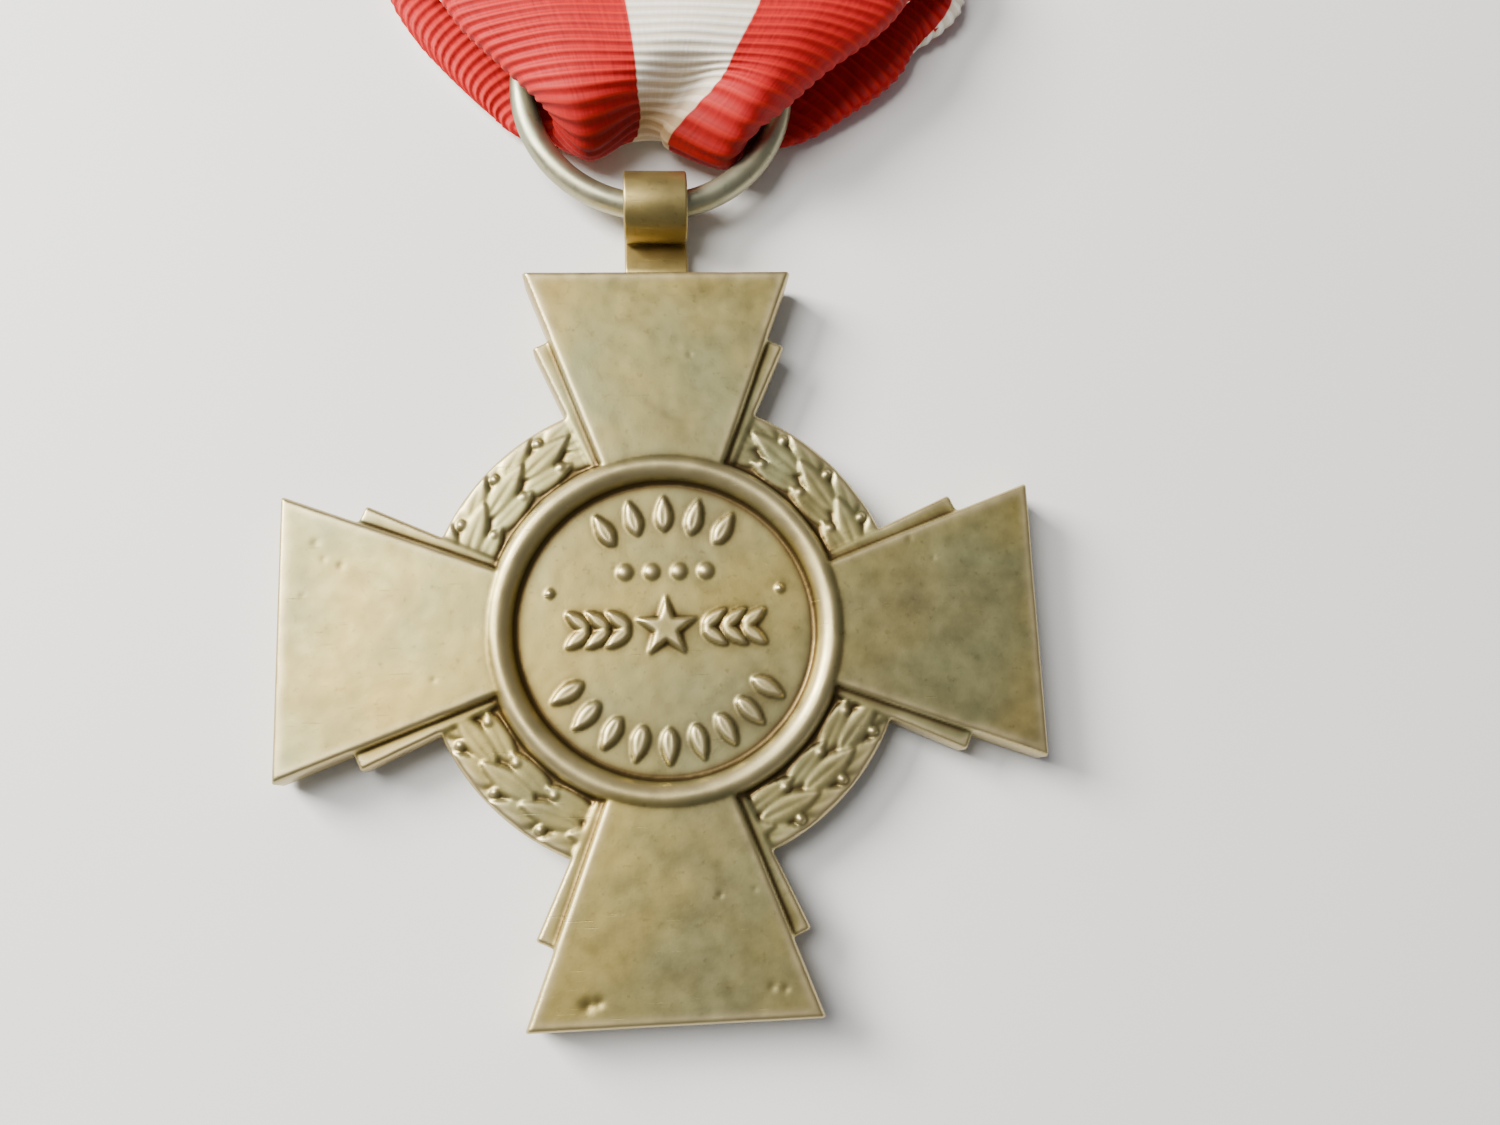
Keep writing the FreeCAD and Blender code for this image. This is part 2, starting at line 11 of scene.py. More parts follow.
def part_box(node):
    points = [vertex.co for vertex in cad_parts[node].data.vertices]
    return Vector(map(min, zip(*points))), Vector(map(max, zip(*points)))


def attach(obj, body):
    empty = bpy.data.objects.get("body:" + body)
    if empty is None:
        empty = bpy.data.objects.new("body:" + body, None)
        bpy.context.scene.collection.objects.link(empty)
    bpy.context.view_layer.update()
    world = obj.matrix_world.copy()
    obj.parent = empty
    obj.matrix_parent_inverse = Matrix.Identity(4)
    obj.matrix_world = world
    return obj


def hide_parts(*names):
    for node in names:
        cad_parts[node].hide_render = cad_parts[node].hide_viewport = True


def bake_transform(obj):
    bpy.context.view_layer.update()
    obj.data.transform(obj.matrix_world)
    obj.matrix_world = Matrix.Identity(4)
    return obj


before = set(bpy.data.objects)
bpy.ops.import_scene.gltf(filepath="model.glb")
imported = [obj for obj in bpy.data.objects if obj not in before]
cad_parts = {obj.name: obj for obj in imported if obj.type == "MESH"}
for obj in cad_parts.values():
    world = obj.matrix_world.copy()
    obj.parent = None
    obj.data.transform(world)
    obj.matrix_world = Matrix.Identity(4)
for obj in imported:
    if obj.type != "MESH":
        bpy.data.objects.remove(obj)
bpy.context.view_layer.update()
MM = 0.001

# Cross, in millimetres from its centre; heights are from its middle plane.
CROSS_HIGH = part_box("cross")[1] / MM
REACH = CROSS_HIGH.x
MIDDLE_Z = CROSS_HIGH.z / 2
ARM_ROOT, ARM_END = 3.06, 6.74
RAY_ROOT, RAY_END, RAY_REACH = 3.57, 6.26, 14.1
ROOT_Y = 8.125
WREATH_RADIUS = 11.55
RIM_INNER, RIM_CREST, RIM_OUTER = 7.15, 7.95, 8.66
ARM_LEVEL, RAY_LEVEL, GROUND_LEVEL, FIELD_LEVEL, RIM_LEVEL = 1.2, 0.86, 0.66, 0.6, 1.4
GRID_STEP = 0.09
LOWEST_EDGE = GROUND_LEVEL - 0.1
WREATH_SHARE = 0.8
SOFTENING = 0.055
ABSENT = -9.0  # where a relief has no shape: below every face


# ---------------------------------------------------------------- shapes of the struck cross

def smooth_max(first, second, radius):
    """Larger of two distances, with its crease rounded over the given radius."""
    overlap = np.clip(radius - np.abs(first - second), 0, None)
    return np.maximum(first, second) + overlap**2 / (4 * radius)


def arm_distance(across, along):
    """Distance to the outline of the nearest arm, negative inside."""
    slope = (ARM_END - ARM_ROOT) / (REACH - ROOT_Y)
    side = (across - ARM_ROOT - slope * (along - ROOT_Y)) / math.hypot(1, slope)
    return smooth_max(side, along - REACH, 0.14)


def ray_distance(across, along):
    """Distance to the outline of the stepped ray behind that arm; its end is square to its side."""
    slope = (RAY_END - RAY_ROOT) / (RAY_REACH - ROOT_Y)
    lean = math.atan(slope)
    side = (across - RAY_ROOT - slope * (along - ROOT_Y)) * math.cos(lean)
    corner = RAY_END * math.sin(lean) + RAY_REACH * math.cos(lean)
    end = across * math.sin(lean) + along * math.cos(lean) - corner
    return smooth_max(side, end, 0.15)


def cross_distances(x, y):
    """Distances to arms, rays, wreath disc and the whole outline."""
    across = np.minimum(np.abs(x), np.abs(y))
    along = np.maximum(np.abs(x), np.abs(y))
    arm = arm_distance(across, along)
    ray = ray_distance(across, along)
    disc = np.hypot(x, y) - WREATH_RADIUS
    return arm, ray, disc, np.minimum(np.minimum(arm, ray), disc)


def edge_drop(distance, radius, steepness=3.5):
    """How far a plateau has fallen at a distance from its outline: a round shoulder, then a wall."""
    shoulder = np.clip(radius + distance, 0, radius)
    return radius - np.sqrt(radius**2 - shoulder**2) + steepness * np.clip(distance, 0, None)


def blurred(grid, sigma_cells):
    """Gaussian blur of a height grid."""
    reach = int(3 * sigma_cells) + 1
    weights = np.exp(-0.5 * (np.arange(-reach, reach + 1) / sigma_cells) ** 2)
    weights /= weights.sum()
    for axis in (0, 1):
        padding = [(reach, reach) if axis == a else (0, 0) for a in (0, 1)]
        padded = np.pad(grid, padding, mode="edge")
        shifts = [np.roll(padded, shift, axis) * w for shift, w in zip(range(-reach, reach + 1), weights)]
        window = [slice(reach, -reach) if axis == a else slice(None) for a in (0, 1)]
        grid = sum(shifts)[tuple(window)]
    return grid


def smooth_noise(shape, sigma_cells, seed):
    """Soft random field with unit spread."""
    noise = blurred(np.random.default_rng(seed).normal(size=shape), sigma_cells)
    return noise / noise.std()


def leaf_height(x, y, base, direction, length, half_width, height, rise=0.0):
    """A pointed leaf, flat with a sunk midrib, that lifts towards its tip; far below zero outside it."""
    dx, dy = x - base[0], y - base[1]
    along = (dx * direction[0] + dy * direction[1]) / length
    across = dx * direction[1] - dy * direction[0]
    inside = (along > 0) & (along < 1)
    width = half_width * np.sin(np.pi * np.clip(along, 0, 1) ** 0.8) ** 0.8 + 1e-6
    side = np.abs(across) / width
    body = height * np.clip(1 - side**3, 0, 1) ** 0.5
    midrib = 0.3 * height * np.exp(-((across / (0.15 * half_width)) ** 2)) * np.clip(1.1 - along, 0, 1)
    return np.where(inside & (side < 1), body - midrib + rise * along, ABSENT)


def bead_height(x, y, centre, radius, height):
    """A round berry or pip."""
    near = np.hypot(x - centre[0], y - centre[1]) / radius
    return np.where(near < 1, height * np.sqrt(np.clip(1 - near**2, 0, 1)), ABSENT)


def star_height(x, y, radius, notch, height):
    """A five-pointed star with one point up, flat topped with a short slope at its outline."""
    half_point = 36
    angle = np.degrees(np.arctan2(y, x)) - 90
    folded = np.radians(np.abs((angle + half_point) % (2 * half_point) - half_point))
    px, py = np.hypot(x, y) * np.cos(folded), np.hypot(x, y) * np.sin(folded)
    nx = notch * math.cos(math.radians(half_point))
    ny = notch * math.sin(math.radians(half_point))
    ex, ey = nx - radius, ny
    outside = ((px - radius) * ey - py * ex) / math.hypot(ex, ey)
    return height - edge_drop(outside, 0.12, 3.0)


def wreath_relief(x, y):
    """Laurel that climbs both sides towards the ribbon: sprays of three leaves with berries between them."""
    relief = np.full(x.shape, ABSENT)
    sprays, first_turn, spray_turn = 12, -84, 14.2
    leaves = [  # radius of the leaf's foot, turn after the spray's start, splay, length, half width, height
        (9.45, 1.5, -13, 2.7, 0.56, 0.10),
        (10.65, 0.0, 15, 2.7, 0.58, 0.10),
        (10.05, 4.0, 1, 3.1, 0.62, 0.15),
    ]
    for side in (-1, 1):
        for spray in range(sprays):
            turn = first_turn + spray * spray_turn
            for radius, delay, splay, length, half_width, height in leaves:
                angle = math.radians(turn + delay)
                base = (side * radius * math.cos(angle), radius * math.sin(angle))
                heading = angle + math.pi / 2 - math.radians(splay)
                direction = (side * math.cos(heading), math.sin(heading))
                leaf = leaf_height(x, y, base, direction, length, half_width, height, 0.12)
                relief = np.maximum(relief, leaf)
            for radius, delay in ((9.35, 0.5), (10.95, 13.0)):
                angle = math.radians(turn + delay)
                centre = (side * radius * math.cos(angle), radius * math.sin(angle))
                relief = np.maximum(relief, bead_height(x, y, centre, 0.25, 0.3))
    return relief


def field_relief(x, y):
    """Plain ornament in the medallion: arcs of leaves, a row of pips and a star between sprigs."""
    relief = np.full(x.shape, ABSENT)
    for count, spread, middle, radius in ((5, 15.5, 90, 4.75), (9, 14.5, -90, 4.75)):
        for number in range(count):
            angle = math.radians(middle + (number - (count - 1) / 2) * spread)
            direction = (math.cos(angle), math.sin(angle))
            base = (radius * direction[0], radius * direction[1])
            relief = np.maximum(relief, leaf_height(x, y, base, direction, 1.7, 0.4, 0.24))
    for number in range(4):
        relief = np.maximum(relief, bead_height(x, y, ((number - 1.5) * 1.3, 2.75), 0.36, 0.2))
    relief = np.maximum(relief, star_height(x, y, 1.45, 0.6, 0.26))
    for side in (-1, 1):
        for step in range(3):
            base = (side * (1.75 + 0.95 * step), 0.0)
            for lean in (-38, 38):
                heading = math.radians(lean)
                direction = (side * math.cos(heading), math.sin(heading))
                relief = np.maximum(relief, leaf_height(x, y, base, direction, 1.4, 0.33, 0.24))
        relief = np.maximum(relief, bead_height(x, y, (side * 5.5, 1.8), 0.2, 0.2))
    return relief


def obverse_relief(x, y):
    """The other face: a large star whose top is level with the rim, in a ring of beads."""
    relief = star_height(x, y, 4.0, 1.75, RIM_LEVEL - FIELD_LEVEL)
    beads = 36
    for number in range(beads):
        angle = 2 * math.pi * number / beads
        centre = (6.2 * math.cos(angle), 6.2 * math.sin(angle))
        relief = np.maximum(relief, bead_height(x, y, centre, 0.3, 0.25))
    return relief


DENTS = [  # x, y, radius and depth of small dents on the reverse
    (-16.3, 4.4, 0.22, 0.035), (-15.9, 3.6, 0.14, 0.03), (-15.1, 3.3, 0.18, 0.04),
    (-16.8, 1.9, 0.12, 0.025), (11.9, 4.0, 0.2, 0.03), (2.1, -12.4, 0.13, 0.045), (3.7, -12.2, 0.12, 0.03),
    (-3.95, -16.9, 0.34, 0.09), (-3.45, -16.8, 0.26, 0.07),
    (4.3, -16.5, 0.24, 0.05), (4.9, -16.6, 0.2, 0.05),
    (1.5, 13.5, 0.12, 0.03), (-10.8, -2.2, 0.13, 0.03), (13.0, 3.0, 0.12, 0.03),
]


def face_heights(x, y, medallion, dents, seed):
    """Height of one face over the middle plane, on a grid."""
    arm, ray, disc, _ = cross_distances(x, y)
    radius = np.hypot(x, y)
    ground = GROUND_LEVEL - edge_drop(disc, 0.12)
    band = (radius > RIM_CREST) & (radius < WREATH_RADIUS)
    carved = GROUND_LEVEL + WREATH_SHARE * wreath_relief(x, y) - edge_drop(disc, 0.3)
    ground = np.where(band, np.maximum(ground, carved), ground)
    height = np.maximum(ground, RAY_LEVEL - edge_drop(ray, 0.1))
    height = np.maximum(height, ARM_LEVEL - edge_drop(arm, 0.22))
    inside = radius < RIM_CREST
    height = np.where(inside, FIELD_LEVEL + np.maximum(medallion(x, y), 0), height)
    slope_width = np.where(inside, RIM_CREST - RIM_INNER, RIM_OUTER - RIM_CREST)
    rim = np.clip(1 - ((radius - RIM_CREST) / slope_width) ** 2, 0, None)
    foot = FIELD_LEVEL - 0.1
    height = np.maximum(height, np.where(rim > 0, foot + (RIM_LEVEL - foot) * rim**0.6, 0))
    for dent_x, dent_y, size, depth in dents:
        height -= depth * np.exp(-(((x - dent_x) ** 2 + (y - dent_y) ** 2) / size**2) * 1.5)
    wear = ((0.008, 1.1), (0.0025, 0.25))  # depth and width of the unevenness, coarse then fine
    for number, (depth, width) in enumerate(wear):
        height += depth * smooth_noise(x.shape, width / GRID_STEP, seed + number)
    return blurred(height, SOFTENING / GRID_STEP)


def sampled(grid, start, x, y):
    """Bilinear values of a grid at any points."""
    column = (x - start) / GRID_STEP
    row = (y - start) / GRID_STEP
    c0, r0 = np.floor(column).astype(int), np.floor(row).astype(int)
    fc, fr = column - c0, row - r0
    low = grid[r0, c0] * (1 - fc) + grid[r0, c0 + 1] * fc
    high = grid[r0 + 1, c0] * (1 - fc) + grid[r0 + 1, c0 + 1] * fc
    return low * (1 - fr) + high * fr


def snapped_to_outline(x, y):
    """Moves points onto the outline of the cross by a few steps down the distance field."""
    tiny = 1e-4
    for _ in range(4):
        here = cross_distances(x, y)[3]
        slope_x = (cross_distances(x + tiny, y)[3] - here) / tiny
        slope_y = (cross_distances(x, y + tiny)[3] - here) / tiny
        length = np.maximum(slope_x**2 + slope_y**2, 0.2)
        x, y = x - here * slope_x / length, y - here * slope_y / length
    return x, y


def mesh_object(name, points, faces, attributes=()):
    """A smooth-shaded mesh object in metres from arrays, with named values per point."""
    mesh = bpy.data.meshes.new(name)
    mesh.vertices.add(len(points))
    mesh.vertices.foreach_set("co", (np.asarray(points) * MM).astype(np.float32).ravel())
    faces = np.asarray(faces)
    corners = faces.shape[1]
    mesh.loops.add(faces.size)
    mesh.loops.foreach_set("vertex_index", faces.astype(np.int32).ravel())
    mesh.polygons.add(len(faces))
    mesh.polygons.foreach_set("loop_start", np.arange(0, faces.size, corners, dtype=np.int32))
    mesh.polygons.foreach_set("use_smooth", np.ones(len(faces), bool))
    for label, values in attributes:
        layer = mesh.attributes.new(label, "FLOAT", "POINT")
        layer.data.foreach_set("value", np.asarray(values, np.float32))
    mesh.update(calc_edges=True)
    mesh.validate()
    made = bpy.data.objects.new(name, mesh)
    bpy.context.scene.collection.objects.link(made)
    return made


def build_cross():
    """Both faces on one conforming grid, joined by the side walls."""
    margin_cells, obverse_seed, reverse_seed = 4, 23, 11
    edge_radius, edge_share = 0.16, 0.6
    recess_width, recess_depth = 0.3, 0.16
    start = -REACH - margin_cells * GRID_STEP
    count = int(round(-2 * start / GRID_STEP)) + 1
    line = start + GRID_STEP * np.arange(count)
    x, y = np.meshgrid(line, line)
    faces_up = face_heights(x, y, field_relief, DENTS, reverse_seed)
    faces_down = face_heights(x, y, obverse_relief, [], obverse_seed)

    centre_x, centre_y = x[:-1, :-1] + GRID_STEP / 2, y[:-1, :-1] + GRID_STEP / 2
    kept = cross_distances(centre_x, centre_y)[3] < 0
    rows, columns = np.nonzero(kept)
    corner = rows * count + columns
    quads = np.stack([corner, corner + 1, corner + count + 1, corner + count], axis=1)
    used, quads = np.unique(quads, return_inverse=True)
    quads = quads.reshape(-1, 4)
    px, py = x.ravel()[used], y.ravel()[used]

    edges = np.concatenate([quads[:, [a, (a + 1) % 4]] for a in range(4)])
    keys = edges[:, 0].astype(np.int64) * len(used) + edges[:, 1]
    opposite = edges[:, 1].astype(np.int64) * len(used) + edges[:, 0]
    border = edges[~np.isin(keys, opposite)]
    rim_points = np.unique(border)
    px[rim_points], py[rim_points] = snapped_to_outline(px[rim_points], py[rim_points])

    outline = np.minimum(cross_distances(px, py)[3], 0)
    shoulder = edge_share * edge_drop(outline, edge_radius)
    up = sampled(faces_up, start, px, py)
    down = sampled(faces_down, start, px, py)
    level_up = np.maximum(up, LOWEST_EDGE)
    level_down = np.maximum(down, LOWEST_EDGE)
    top = np.stack([px, py, MIDDLE_Z + level_up - shoulder], axis=1)
    bottom = np.stack([px, py, np.maximum(MIDDLE_Z - level_down + shoulder, 0)], axis=1)
    total = len(used)
    walls = np.stack([border[:, 1], border[:, 0], border[:, 0] + total, border[:, 1] + total], axis=1)
    all_faces = np.concatenate([quads, quads[:, ::-1] + total, walls])

    around = recess_width / GRID_STEP
    recess = [sampled(blurred(g, around) - g, start, px, py) for g in (faces_up, faces_down)]
    recess = np.clip(np.concatenate(recess) / recess_depth, -1, 1)
    cross = mesh_object("struck_cross", np.concatenate([top, bottom]), all_faces,
                        [("recess", np.clip(recess, 0, 1)), ("rubbed", np.clip(-recess, 0, 1))])
    cross.data.materials.append(bronze("struck_bronze", (0.385, 0.30, 0.095), (0.28, 0.27, 0.128)))
    finish(cross, "medal", "bronze", "cross")


def finish(piece, body, slot, *nodes):
    """Puts a piece on its body, in place of its CAD nodes; the slot argument is not used."""
    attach(piece, body)
    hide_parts(*nodes)


# ---------------------------------------------------------------- materials

# Places of the colour sockets on a Mix node, where several share one name.
MIX_FIRST, MIX_SECOND, MIX_RESULT = 6, 7, 2


def new_material(name):
    material = bpy.data.materials.new(name)
    material.use_nodes = True
    tree = material.node_tree
    shader = next(node for node in tree.nodes if node.type == "BSDF_PRINCIPLED")
    return material, tree, shader


def add_node(tree, kind, **settings):
    node = tree.nodes.new(kind)
    for key, value in settings.items():
        if key in node.inputs:
            node.inputs[key].default_value = value
        else:
            setattr(node, key, value)
    return node


def noise(tree, per_mm, detail):
    """Noise whose features are about one over per_mm millimetres wide."""
    coordinates = add_node(tree, "ShaderNodeTexCoord")
    texture = add_node(tree, "ShaderNodeTexNoise", Scale=per_mm / MM, Detail=detail, Roughness=0.55)
    tree.links.new(coordinates.outputs["Object"], texture.inputs["Vector"])
    return texture.outputs["Fac"]


def ramp(tree, value, stops):
    """Colours along a value: stops are (place, colour)."""
    node = add_node(tree, "ShaderNodeValToRGB")
    elements = node.color_ramp.elements
    while len(elements) < len(stops):
        elements.new(0.5)
    for element, (place, colour) in zip(elements, stops):
        element.position = place
        element.color = (*colour, 1)
    tree.links.new(value, node.inputs["Fac"])
    return node.outputs["Color"]


def grey(level):
    return (level, level, level)


def mixed(tree, share, first, second, blend="MIX"):
    node = add_node(tree, "ShaderNodeMix", data_type="RGBA", blend_type=blend)
    tree.links.new(share, node.inputs["Factor"])
    for socket, value in ((node.inputs[MIX_FIRST], first), (node.inputs[MIX_SECOND], second)):
        if isinstance(value, tuple):
            socket.default_value = (*value, 1)
        else:
            tree.links.new(value, socket)
    return node.outputs[MIX_RESULT]


def add_bump(tree, shader, heights):
    """Chains bumps: each of heights is (value, strength, distance in millimetres)."""
    normal = None
    for value, strength, distance in heights:
        node = add_node(tree, "ShaderNodeBump", Strength=strength, Distance=distance * MM)
        tree.links.new(value, node.inputs["Height"])
        if normal is not None:
            tree.links.new(normal, node.inputs["Normal"])
        normal = node.outputs["Normal"]
    tree.links.new(normal, shader.inputs["Normal"])


def bronze(name, bright, patina, use_recess=True):
    """Worn bronze: golden where rubbed, grey-green patina in patches, brown dirt in specks and recesses."""
    material, tree, shader = new_material(name)
    shader.inputs["Metallic"].default_value = 0.9
    dirt, warm_brown = (0.07, 0.036, 0.010), (0.30, 0.155, 0.04)
    patches = ramp(tree, noise(tree, 0.11, 3), [(0.36, grey(0)), (0.64, grey(1))])
    colour = mixed(tree, patches, bright, patina)
    warm = ramp(tree, noise(tree, 0.15, 2), [(0.46, grey(0)), (0.70, grey(0.18))])
    colour = mixed(tree, warm, colour, warm_brown)
    specks = ramp(tree, noise(tree, 2.6, 6), [(0.60, grey(0)), (0.76, grey(0.35))])
    colour = mixed(tree, specks, colour, dirt)
    if use_recess:
        attribute = add_node(tree, "ShaderNodeAttribute", attribute_name="recess")
        deep = ramp(tree, attribute.outputs["Fac"], [(0.04, grey(0)), (0.6, grey(0.85))])
        colour = mixed(tree, deep, colour, dirt)
        rubbed = add_node(tree, "ShaderNodeAttribute", attribute_name="rubbed")
        polish = ramp(tree, rubbed.outputs["Fac"], [(0.05, grey(0)), (0.6, grey(0.6))])
        colour = mixed(tree, polish, colour, (0.60, 0.49, 0.26))
    tree.links.new(colour, shader.inputs["Base Color"])
    rough = ramp(tree, noise(tree, 0.8, 5), [(0.3, grey(0.34)), (0.7, grey(0.48))])
    tree.links.new(rough, shader.inputs["Roughness"])
    add_bump(tree, shader, [(noise(tree, 1.3, 3), 0.25, 0.02), (noise(tree, 9.0, 4), 0.35, 0.006),
                            (scratches(tree), 0.5, 0.012)])
    return material


def scratches(tree):
    """Sparse hairlines in two directions: noise drawn out along each and cut to its rarest values."""
    coordinates = add_node(tree, "ShaderNodeTexCoord")
    found = None
    for turn in (17, -58):
        mapping = add_node(tree, "ShaderNodeMapping", Scale=(0.35 / MM, 9.0 / MM, 0.35 / MM),
                           Rotation=(0, 0, math.radians(turn)))
        tree.links.new(coordinates.outputs["Object"], mapping.inputs["Vector"])
        texture = add_node(tree, "ShaderNodeTexNoise", Scale=1.0, Detail=2.0)
        tree.links.new(mapping.outputs["Vector"], texture.inputs["Vector"])
        lines = ramp(tree, texture.outputs["Fac"], [(0.72, grey(1)), (0.78, grey(0))])
        found = lines if found is None else mixed(tree, lines, grey(0), found)
    return found


# ---------------------------------------------------------------- ring and rolled loop

LOOP_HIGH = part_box("suspension_loop")[1] / MM
LOOP_RADIUS, LOOP_BORE, LOOP_WIDTH = 1.8, 1.1, 3.2
LOOP_Y = LOOP_HIGH.y - LOOP_RADIUS
LOOP_Z = LOOP_HIGH.z - LOOP_RADIUS
RING_LOW, RING_HIGH = (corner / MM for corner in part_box("jump_ring"))
RING_Y = (RING_LOW.y + RING_HIGH.y) / 2
RING_Z = (RING_LOW.z + RING_HIGH.z) / 2
WIRE_RADIUS = (RING_HIGH.z - RING_LOW.z) / 2
RING_RADIUS = (RING_HIGH.y - RING_LOW.y) / 2 - WIRE_RADIUS


def swept(name, path, section, sideways, closed=False):
    """A section carried along a path of points; its first axis is sideways, its second across the path."""
    path = np.asarray(path, float)
    if closed:
        tangents = np.roll(path, -1, 0) - np.roll(path, 1, 0)
    else:
        tangents = np.gradient(path, axis=0)
    tangents /= np.linalg.norm(tangents, axis=1)[:, None]
    sideways = np.broadcast_to(np.asarray(sideways, float), path.shape)
    across = np.cross(sideways, tangents)
    rings = path[:, None] + section[None, :, :1] * sideways[:, None] + section[None, :, 1:] * across[:, None]
    count, sides = len(path), len(section)
    steps = np.arange(count if closed else count - 1)
    corners = np.arange(sides)
    a = (steps[:, None] * sides + corners).ravel()
    b = (steps[:, None] * sides + (corners + 1) % sides).ravel()
    c = (((steps + 1) % count)[:, None] * sides + (corners + 1) % sides).ravel()
    d = (((steps + 1) % count)[:, None] * sides + corners).ravel()
    made = mesh_object(name, rings.reshape(-1, 3), np.stack([a, b, c, d], axis=1))
    if not closed:
        close_ends(made, sides, count)
    return made


def close_ends(piece, sides, count):
    """Flat caps on the two ends of a swept mesh, and all its faces turned outwards."""
    work = bmesh.new()
    work.from_mesh(piece.data)
    work.verts.ensure_lookup_table()
    for first in (0, (count - 1) * sides):
        work.faces.new([work.verts[first + corner] for corner in range(sides)])
    bmesh.ops.recalc_face_normals(work, faces=work.faces)
    work.to_mesh(piece.data)
    work.free()


def round_section(radius, sides=24):
    angles = 2 * np.pi * np.arange(sides) / sides
    return np.stack([radius * np.cos(angles), radius * np.sin(angles)], axis=1)


def strip_section(width, thickness, corner=0.13, steps=4):
    """A rectangle with rounded corners."""
    points = []
    for quarter, (side_x, side_y) in enumerate(((1, 1), (-1, 1), (-1, -1), (1, -1))):
        for step in range(steps + 1):
            angle = math.radians(90 * quarter + 90 * step / steps)
            points.append((side_x * (width / 2 - corner) + corner * math.cos(angle),
                           side_y * (thickness / 2 - corner) + corner * math.sin(angle)))
    return np.array(points)


def build_ring():
    """Wire ring, very slightly out of round as a hand-closed one is."""
    steps = 240
    angles = 2 * np.pi * np.arange(steps) / steps
    wobble = 0.015 * np.sin(2 * angles + 0.6) + 0.006 * np.sin(5 * angles)
    reach = RING_RADIUS + wobble
    path = np.stack([reach * np.cos(angles), RING_Y + reach * np.sin(angles),
                     RING_Z + 0.01 * np.sin(3 * angles)], axis=1)
    outward = np.stack([np.cos(angles), np.sin(angles), np.zeros(steps)], axis=1)
    ring = swept("wire_ring", path, round_section(WIRE_RADIUS), outward, closed=True)
    ring.data.materials.append(bronze("wire_bronze", (0.46, 0.43, 0.28), (0.27, 0.28, 0.19), False))
    finish(ring, "ring", "ring_bronze", "jump_ring")


def build_loop():
    """Strip that rises from the back of the top arm, goes round the ring and ends above the neck."""
    radius = (LOOP_RADIUS + LOOP_BORE) / 2
    neck = [(0, REACH - 0.1, 1.3), (0, REACH + 0.5, 1.25), (0, REACH + 1.1, 1.05), (0, REACH + 1.8, 0.72),
            (0, REACH + 2.6, 0.5)]
    path = list(neck)
    for degrees in range(-88, 208, 6):
        angle = math.radians(degrees)
        path.append((0, LOOP_Y + radius * math.cos(angle), LOOP_Z + radius * math.sin(angle)))
    section = strip_section(LOOP_WIDTH, LOOP_RADIUS - LOOP_BORE)
    loop = swept("rolled_loop", path, section, (1, 0, 0))
    loop.data.materials.append(bronze("strip_bronze", (0.38, 0.28, 0.09), (0.28, 0.24, 0.11), False))
    finish(loop, "medal", "loop_bronze", "suspension_loop")


# ---------------------------------------------------------------- ribbon

RIBBON_HALF = 18.5
RIBBON_THICKNESS = 0.26
RIB_PITCH = 0.6
RIB_HEIGHT = 0.065
RIB_WANDER = 0.12
CREASE_HEIGHT = 0.03
COLUMNS, COARSE_ROWS, ROWS_PER_RIB = 75, 900, 5
FLOOR_GAP = 0.02
PANEL_DEPTH, TAIL_RISE = 0.2, 0.36
ACROSS = [-18.5, -15.5, -12.0, -8.0, -3.5, 0.0, 3.5, 7.0, 10.3, 14.5, 18.5]


def level_row(y, z, arch=0.0):
    """A row of the ribbon that lies flat at full width, arched a little in the middle."""
    return [(u, y, z + arch * (1 - (u / RIBBON_HALF) ** 2)) for u in ACROSS]


